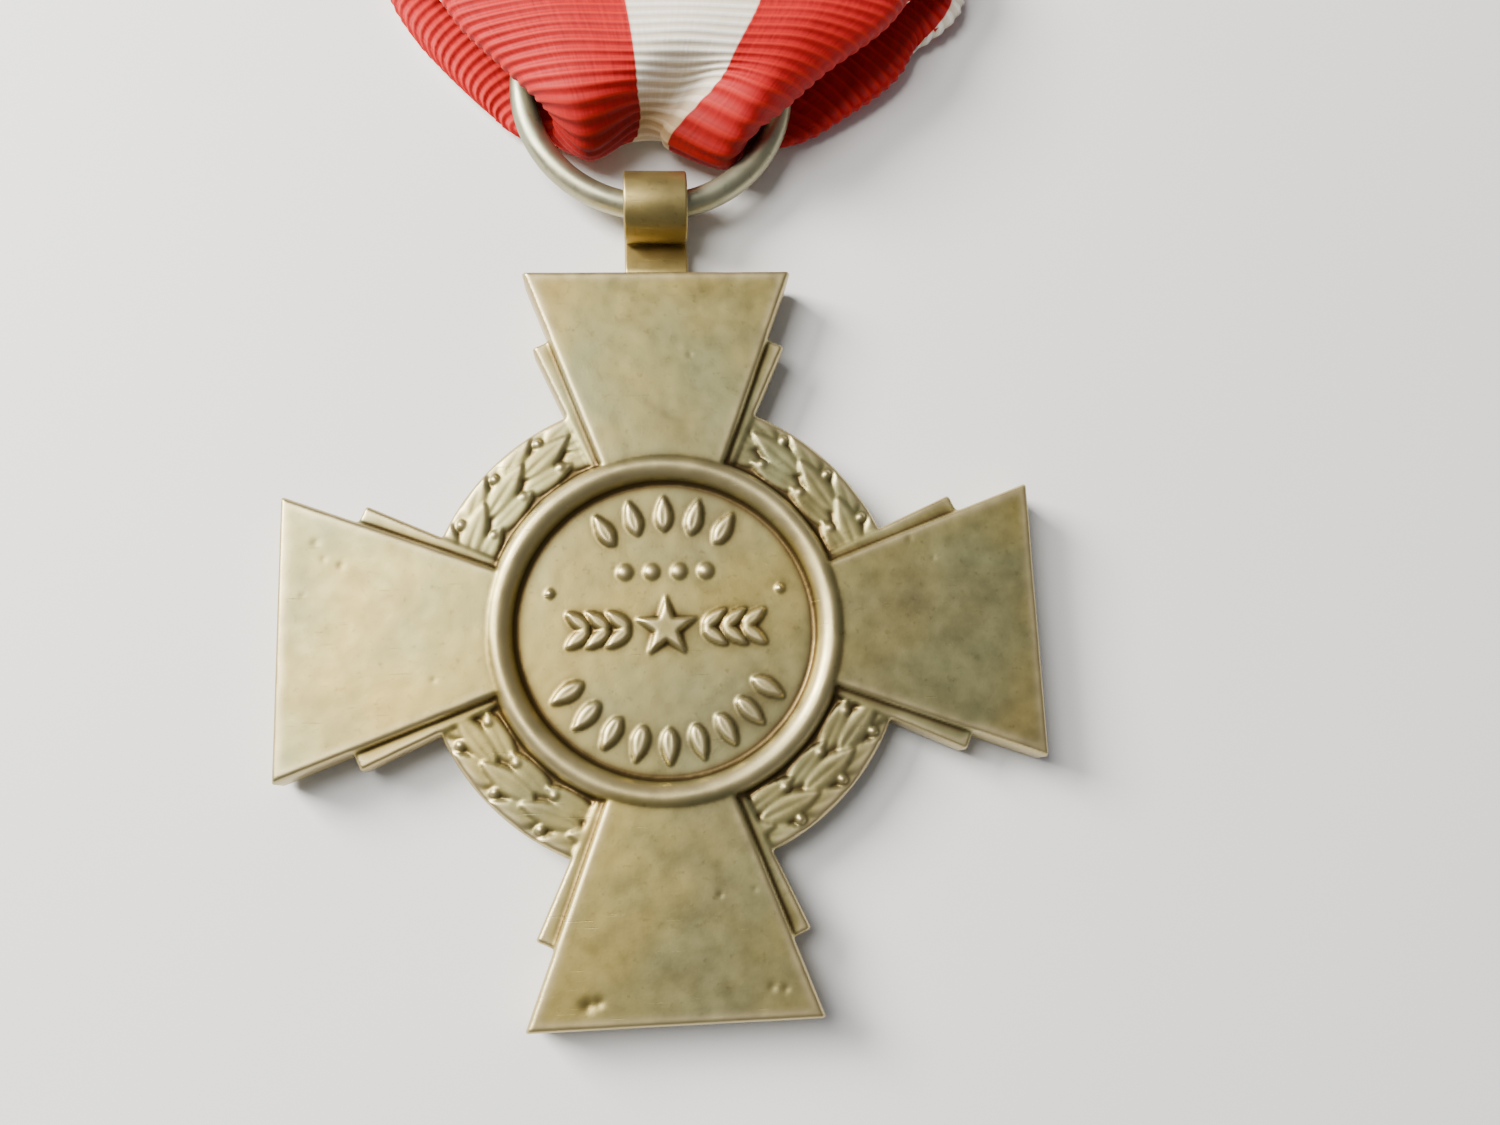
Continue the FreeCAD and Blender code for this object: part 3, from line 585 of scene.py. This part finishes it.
BEHIND_RING = [
    [(-15.6, 38.0, 0.3), (-14.9, 39.0, 0.5), (-13.0, 40.2, 1.0), (-8.1, 41.0, 0.6),
     (-3.5, 41.2, 0.3), (0.1, 41.2, 0.3), (3.6, 41.2, 0.3), (7.1, 41.2, 0.4),
     (10.8, 40.6, 0.7), (15.6, 39.4, 1.1), (18.2, 38.0, 0.7)],
    [(-9.6, 32.4, 0.2), (-11.8, 32.8, 0.4), (-13.6, 35.0, 1.2), (-8.2, 37.8, 0.9),
     (-2.8, 37.6, 0.4), (0.5, 37.4, 0.4), (3.6, 37.5, 0.4), (8.0, 38.2, 0.7),
     (13.0, 36.6, 1.0), (16.9, 34.0, 1.2), (14.7, 33.2, 0.35)],
    [(-7.2, 28.6, 0.2), (-9.2, 29.0, 0.3), (-11.1, 30.9, 1.2), (-7.8, 33.8, 1.0),
     (-3.0, 33.4, 0.5), (0.5, 33.0, 0.4), (3.6, 33.1, 0.5), (8.6, 34.4, 0.9),
     (13.4, 31.0, 1.3), (12.0, 30.2, 0.4), (9.4, 29.8, 0.2)],
    [(-5.4, 26.9, 0.2), (-6.8, 27.0, 0.3), (-8.9, 28.3, 1.0), (-6.8, 30.2, 0.9),
     (-2.8, 29.6, 0.5), (0.5, 29.4, 0.4), (3.4, 29.4, 0.5), (7.8, 30.6, 0.9),
     (10.7, 28.1, 1.1), (8.8, 28.0, 0.35), (6.8, 27.8, 0.2)],
    [(-3.8, 26.4, 0.3), (-5.2, 26.1, 0.4), (-7.0, 26.6, 0.8), (-5.4, 27.1, 0.9),
     (-2.6, 26.7, 0.6), (0.4, 27.1, 0.5), (1.6, 26.8, 0.5), (4.7, 26.9, 0.8),
     (7.4, 26.2, 0.9), (5.8, 26.0, 0.4), (4.2, 26.1, 0.3)],
    [(-3.6, 26.8, 0.8), (-4.6, 26.6, 0.9), (-5.1, 26.1, 1.2), (-3.5, 24.9, 1.2),
     (-1.0, 26.0, 1.2), (0.5, 26.0, 1.2), (1.0, 25.4, 1.2), (3.7, 24.5, 1.2),
     (4.7, 25.4, 1.2), (4.6, 26.4, 0.9), (3.8, 26.7, 0.8)],
]
FOLD = [
    (-4.0, 26.9, 2.0), (-4.8, 26.8, 2.1), (-4.9, 26.2, 2.4), (-3.3, 24.6, 2.4),
    (-0.7, 26.3, 2.5), (0.5, 26.0, 2.4), (0.9, 25.4, 2.4), (3.6, 24.1, 2.4),
    (4.6, 25.2, 2.4), (4.8, 26.6, 2.1), (4.0, 26.9, 2.0),
]
OVER_RING = [
    [(-3.0, 27.0, 2.9), (-4.5, 26.9, 2.9), (-5.7, 26.8, 3.6), (-3.9, 26.0, 4.7),
     (-0.8, 26.7, 4.6), (1.3, 27.5, 3.3), (3.2, 27.0, 4.5), (5.1, 25.9, 4.8),
     (6.3, 26.0, 3.9), (5.3, 26.3, 2.9), (3.6, 26.6, 2.9)],
    [(-4.6, 28.6, 3.0), (-6.4, 28.5, 3.1), (-7.4, 28.4, 4.0), (-4.7, 28.3, 5.2),
     (-0.9, 28.2, 5.5), (1.6, 28.4, 5.5), (4.1, 28.3, 5.5), (6.8, 28.2, 5.3),
     (8.6, 28.1, 4.3), (7.5, 28.3, 3.1), (5.0, 28.4, 3.0)],
    [(-7.0, 31.3, 3.0), (-8.9, 31.2, 3.1), (-9.8, 31.2, 4.2), (-5.9, 31.5, 5.2),
     (-1.35, 31.6, 5.4), (2.1, 31.6, 5.5), (5.6, 31.6, 5.4), (9.1, 31.5, 5.3),
     (12.2, 31.3, 4.4), (11.2, 31.2, 3.1), (7.9, 31.2, 3.0)],
    [(-12.4, 35.4, 2.4), (-13.4, 35.4, 3.5), (-10.6, 35.6, 4.4), (-6.6, 35.7, 4.8),
     (-1.8, 35.8, 4.9), (1.8, 35.8, 5.0), (5.3, 35.8, 4.9), (8.9, 35.7, 4.8),
     (12.3, 35.6, 4.5), (15.9, 35.4, 3.4), (15.0, 35.3, 2.3)],
    [(-17.4, 40.0, 1.8), (-15.0, 40.2, 2.8), (-11.6, 40.4, 3.2), (-7.7, 40.5, 3.4),
     (-3.2, 40.6, 3.5), (0.4, 40.6, 3.5), (3.9, 40.6, 3.5), (7.4, 40.5, 3.4),
     (10.8, 40.4, 3.2), (15.0, 40.2, 2.7), (18.2, 40.0, 1.7)],
]


def ribbon_rows():
    """The ribbon from its sewn tail, round the rail, down behind the ring, through it and back up."""
    rail_y = (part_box("brooch_bar")[0] / MM).y
    under_z = 0.29
    over_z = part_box("ribbon_reverse_panel")[1].z / MM - PANEL_DEPTH
    tail_z = over_z + TAIL_RISE
    rows = [
        level_row(rail_y - 5.6, tail_z),
        level_row(rail_y - 2.0, tail_z),
        level_row(rail_y + 0.9, tail_z - 0.12),
        level_row(rail_y + 1.75, 1.05),
        level_row(rail_y + 0.8, under_z),
        level_row(rail_y - 0.4, under_z),
        level_row(rail_y - 2.0, under_z),
        level_row(rail_y - 11, under_z),
        level_row(rail_y - 21, under_z),
    ]
    rows += BEHIND_RING + [FOLD] + OVER_RING
    rows += [
        level_row(rail_y - 24, over_z, 0.9),
        level_row(rail_y - 12, over_z, 0.25),
        level_row(rail_y - 0.6, over_z),
    ]
    return np.array(rows)


def cubic_through(knots, values, places):
    """Smooth curve through values at knots (first axis), read at places."""
    knots = np.asarray(knots, float)
    slopes = np.gradient(values, knots, axis=0)
    index = np.clip(np.searchsorted(knots, places, side="right") - 1, 0, len(knots) - 2)
    width = knots[index + 1] - knots[index]
    part = (places - knots[index]) / width
    shape = (-1,) + (1,) * (values.ndim - 1)
    part, width = part.reshape(shape), width.reshape(shape)
    first, second = values[index], values[index + 1]
    slope_a, slope_b = slopes[index] * width, slopes[index + 1] * width
    return ((2 * part**3 - 3 * part**2 + 1) * first + (part**3 - 2 * part**2 + part) * slope_a
            + (3 * part**2 - 2 * part**3) * second + (part**3 - part**2) * slope_b)


def lengths_along(rows):
    """Distance travelled down the ribbon at each row, averaged across it."""
    steps = np.linalg.norm(np.diff(rows, axis=0), axis=2).mean(axis=1)
    return np.concatenate([[0], np.cumsum(steps)])


def build_ribbon():
    """One woven length with its ribs modelled, thickened to a closed cloth."""
    control = ribbon_rows()
    across = np.linspace(-RIBBON_HALF, RIBBON_HALF, COLUMNS)
    wide = np.swapaxes(cubic_through(ACROSS, np.swapaxes(control, 0, 1), across), 0, 1)
    knots = lengths_along(wide)
    dense = cubic_through(knots, wide, np.linspace(0, knots[-1], COARSE_ROWS))
    travelled = lengths_along(dense)
    length = travelled[-1]
    along = np.arange(0, length, RIB_PITCH / ROWS_PER_RIB)
    surface = cubic_through(travelled, dense, along)

    down = np.gradient(surface, axis=0)
    side = np.gradient(surface, axis=1)
    normal = np.cross(side, down)
    normal /= np.maximum(np.linalg.norm(normal, axis=2), 1e-9)[:, :, None]
    shape = (len(along), len(across))
    phase = along[:, None] / RIB_PITCH + RIB_WANDER * smooth_noise(shape, 9, seed=5)
    wave = np.sin(2 * np.pi * phase)
    ribs = RIB_HEIGHT * wave
    creases = CREASE_HEIGHT * smooth_noise(shape, 7, seed=8)
    centre = surface + normal * (ribs + creases)[:, :, None]

    rows, columns = centre.shape[:2]
    half = normal * RIBBON_THICKNESS / 2
    points = np.concatenate([(centre + half).reshape(-1, 3), (centre - half).reshape(-1, 3)])
    points[:, 2] = np.maximum(points[:, 2], FLOOR_GAP)
    grid = np.arange(rows * columns).reshape(rows, columns)
    top = np.stack([grid[:-1, :-1], grid[:-1, 1:], grid[1:, 1:], grid[1:, :-1]], axis=2).reshape(-1, 4)
    total = rows * columns
    border = np.concatenate([grid[0, :], grid[1:, -1], grid[-1, -2::-1], grid[-2:0:-1, 0]])
    after = np.roll(border, -1)
    walls = np.stack([border, border + total, after + total, after], axis=1)
    faces = np.concatenate([top, top[:, ::-1] + total, walls])
    u_values = np.tile(np.broadcast_to(across, (rows, columns)).ravel(), 2)
    v_values = np.tile(np.broadcast_to(along[:, None], (rows, columns)).ravel(), 2)
    # The rib phase per point, which the cloth uses for its painted highlight on the crests and its painted
    # shade in the grooves.
    crest = np.concatenate([wave.ravel(), -wave.ravel()])
    rows_above = 3
    fold_row = len(control) - rows_above - len(OVER_RING) - 1
    fold_at = np.interp(knots[fold_row], np.linspace(0, knots[-1], len(dense)), travelled)
    # Painted shade: a tan darkening along the fold where the ribbon turns through the ring, standing in for
    # the shadow in that pleat.
    painted_fold_shade_reach = 1.7
    painted_fold_shade = np.exp(-(((v_values - fold_at) / painted_fold_shade_reach) ** 2))
    attributes = [("across", u_values), ("along", v_values), ("crest", crest), ("painted_fold_shade", painted_fold_shade)]
    ribbon = mesh_object("ribbon", points, faces, attributes)
    ribbon.data.materials.append(ribbon_cloth())
    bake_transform(ribbon)
    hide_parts("ribbon_gather", "ribbon_reverse_panel", "ribbon_obverse_panel")


def ribbon_cloth():
    """Ribbed silk: red with a broad white stripe and a narrow one near each edge, with a painted highlight
    on the rib crests, painted shade in the grooves of the white and painted shade along the fold.
    """
    material, tree, shader = new_material("ribbed_ribbon")
    across = add_node(tree, "ShaderNodeAttribute", attribute_name="across").outputs["Fac"]
    along = add_node(tree, "ShaderNodeAttribute", attribute_name="along").outputs["Fac"]
    crest = add_node(tree, "ShaderNodeAttribute", attribute_name="crest").outputs["Fac"]
    thread_space = add_node(tree, "ShaderNodeCombineXYZ")
    tree.links.new(across, thread_space.inputs[0])
    stretched = add_node(tree, "ShaderNodeMath", operation="MULTIPLY")
    stretched.inputs[1].default_value = 0.12
    tree.links.new(along, stretched.inputs[0])
    tree.links.new(stretched.outputs[0], thread_space.inputs[1])
    threads = add_node(tree, "ShaderNodeTexNoise", Scale=5.5, Detail=3.0)
    tree.links.new(thread_space.outputs[0], threads.inputs["Vector"])

    place = add_node(tree, "ShaderNodeMath", operation="ABSOLUTE")
    tree.links.new(across, place.inputs[0])
    share = add_node(tree, "ShaderNodeMath", operation="DIVIDE")
    share.inputs[1].default_value = RIBBON_HALF
    tree.links.new(place.outputs[0], share.inputs[0])
    white_half, edge_low, edge_high = (reach / RIBBON_HALF for reach in (3.45, 13.6, 15.6))
    soft = 0.004
    stripes = ramp(tree, share.outputs[0], [
        (0.0, grey(1)), (white_half, grey(1)), (white_half + soft, grey(0)), (edge_low, grey(0)),
        (edge_low + soft, grey(1)), (edge_high, grey(1)), (edge_high + soft, grey(0))])

    red = ramp(tree, threads.outputs["Fac"], [(0.3, (0.32, 0.002, 0.004)), (0.7, (0.47, 0.004, 0.006))])
    # Painted highlight: the rib crests are mixed towards a lighter red, where light catches them.
    crest_highlight = ramp(tree, crest, [(0.35, grey(0)), (0.95, grey(0.6))])
    red_with_crest_highlight = mixed(tree, crest_highlight, red, (0.61, 0.02, 0.009))
    white = ramp(tree, threads.outputs["Fac"], [(0.3, (0.86, 0.80, 0.66)), (0.7, (0.95, 0.92, 0.83))])
    # Painted shade: the white stripe turns tan in the grooves between the ribs.
    groove_shade = ramp(tree, crest, [(0.0, grey(0.5)), (0.5, grey(0))])
    white_with_groove_shade = mixed(tree, groove_shade, white, (0.58, 0.45, 0.28))
    colour = mixed(tree, stripes, red_with_crest_highlight, white_with_groove_shade)
    # Painted shade along the fold through the ring, multiplied into the cloth colour.
    painted_fold_shade = add_node(tree, "ShaderNodeAttribute", attribute_name="painted_fold_shade").outputs["Fac"]
    colour = mixed(tree, painted_fold_shade, colour, (0.66, 0.48, 0.30), "MULTIPLY")
    tree.links.new(colour, shader.inputs["Base Color"])
    shader.inputs["Roughness"].default_value = 0.62
    shader.inputs["Specular IOR Level"].default_value = 0.25
    shader.inputs["Sheen Weight"].default_value = 0.02
    shader.inputs["Sheen Roughness"].default_value = 0.45
    add_bump(tree, shader, [(threads.outputs["Fac"], 0.5, 0.03), (noise(tree, 12.0, 2), 0.2, 0.01)])
    return material


def build_stitches():
    """Hand stitches through the ribbon's tail, each a short bent thread."""
    low, high = (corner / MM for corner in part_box("ribbon_stitches"))
    radius, pitch, half_length, arch, scatter = 0.13, 1.5, 0.62, 0.16, 0.06
    count = int(round((high.x - low.x) / pitch)) + 1
    row_y = (low.y + high.y) / 2
    surface_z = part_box("ribbon_reverse_panel")[1].z / MM + TAIL_RISE
    rng = np.random.default_rng(4)
    threads = []
    for number in range(count):
        across = (number - (count - 1) / 2) * pitch + rng.normal(0, scatter)
        lean = rng.normal(0.25, scatter)
        places = np.linspace(-1, 1, 9)
        heights = surface_z + 0.02 + arch * (1 - places**4)
        path = np.stack([across + lean * places, row_y + half_length * places, heights], axis=1)
        threads.append(swept(f"stitch_{number}", path, round_section(radius, 8), (1, 0, 0)))
    with bpy.context.temp_override(active_object=threads[0], selected_editable_objects=threads):
        bpy.ops.object.join()
    sewn = threads[0]
    sewn.name = "sewn_stitches"
    material, tree, shader = new_material("sewing_thread")
    tone = ramp(tree, noise(tree, 4.0, 3), [(0.3, (0.30, 0.01, 0.015)), (0.7, (0.48, 0.03, 0.04))])
    tree.links.new(tone, shader.inputs["Base Color"])
    shader.inputs["Roughness"].default_value = 0.6
    add_bump(tree, shader, [(noise(tree, 14.0, 2), 0.5, 0.02)])
    sewn.data.materials.append(material)
    finish(sewn, "ribbon", "thread", "ribbon_stitches")


# ---------------------------------------------------------------- brooch

def plain_metal(name, bright, dull, rough):
    """Machined metal with faint brushing and finger marks."""
    material, tree, shader = new_material(name)
    shader.inputs["Metallic"].default_value = 0.95
    colour = ramp(tree, noise(tree, 0.25, 4), [(0.35, bright), (0.7, dull)])
    tree.links.new(colour, shader.inputs["Base Color"])
    roughness = ramp(tree, noise(tree, 0.7, 4), [(0.3, grey(rough)), (0.7, grey(rough + 0.15))])
    tree.links.new(roughness, shader.inputs["Roughness"])
    add_bump(tree, shader, [(noise(tree, 6.0, 5), 0.3, 0.008)])
    return material


def dress_brooch():
    """The brooch keeps its CAD shapes and takes worn brass and steel."""
    brass = plain_metal("brushed_brass", (0.64, 0.48, 0.20), (0.45, 0.32, 0.12), 0.3)
    steel = plain_metal("drawn_steel", (0.62, 0.61, 0.58), (0.45, 0.44, 0.42), 0.22)
    for node, material in (("brooch_bar", brass), ("hinge_bracket", brass), ("hinge_rivet", steel),
                           ("catch", brass), ("pin_wire", steel)):
        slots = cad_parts[node].material_slots
        for material_slot in slots:
            material_slot.material = material


# ---------------------------------------------------------------- light, floor and camera

def build_stage():
    size = 0.6
    mesh = bpy.data.meshes.new("floor")
    corners = [(-size, -size, 0), (size, -size, 0), (size, size, 0), (-size, size, 0)]
    mesh.from_pydata(corners, [], [(0, 1, 2, 3)])
    floor = bpy.data.objects.new("floor", mesh)
    bpy.context.scene.collection.objects.link(floor)
    material, tree, shader = new_material("pale_floor")
    tone = ramp(tree, noise(tree, 0.02, 2), [(0.3, (0.80, 0.79, 0.77)), (0.7, (0.84, 0.83, 0.81))])
    tree.links.new(tone, shader.inputs["Base Color"])
    shader.inputs["Roughness"].default_value = 0.8
    mesh.materials.append(material)


def add_area_light(name, position, target, size, power, colour):
    light = bpy.data.lights.new(name, "AREA")
    light.size = size
    light.energy = power
    light.color = colour
    lamp = bpy.data.objects.new(name, light)
    lamp.location = position
    aim = Vector(target) - Vector(position)
    lamp.rotation_euler = aim.to_track_quat("-Z", "Y").to_euler()
    bpy.context.scene.collection.objects.link(lamp)


def build_lights():
    world = bpy.data.worlds.new("studio")
    world.use_nodes = True
    background = world.node_tree.nodes["Background"]
    background.inputs["Color"].default_value = (0.95, 0.96, 1.0, 1)
    background.inputs["Strength"].default_value = 0.2
    bpy.context.scene.world = world
    add_area_light("window", (-0.20, 0.12, 0.15), (0, 0.005, 0), 0.12, 2.3, (1.0, 0.97, 0.92))
    add_area_light("overhead", (-0.12, 0.07, 0.27), (0, 0.01, 0), 0.13, 0.8, (1.0, 0.99, 0.97))


def build_camera():
    """A close camera over the lower half of the cross, leaning about 12 degrees off straight down."""
    data = bpy.data.cameras.new("close_camera")
    data.sensor_width = 36.0
    data.lens = 30.5
    data.clip_start = 0.002
    camera = bpy.data.objects.new("close_camera", data)
    position = Vector((-1.19, -8.98, 62.1)) * MM
    elevation, azimuth, roll = math.radians(77.62), math.radians(-23.74), math.radians(-2.32)
    back = Vector((math.sin(azimuth) * math.cos(elevation), -math.cos(azimuth) * math.cos(elevation),
                   math.sin(elevation)))
    right = Vector((0, 1, 0)).cross(back).normalized()
    up = back.cross(right)
    rolled_right = right * math.cos(roll) + up * math.sin(roll)
    rolled_up = up * math.cos(roll) - right * math.sin(roll)
    turn = Matrix((rolled_right, rolled_up, back)).transposed().to_4x4()
    camera.matrix_world = Matrix.Translation(position) @ turn
    bpy.context.scene.collection.objects.link(camera)
    bpy.context.scene.camera = camera


build_stage()
build_lights()
build_camera()
build_cross()
build_ring()
build_loop()
build_ribbon()
build_stitches()
dress_brooch()
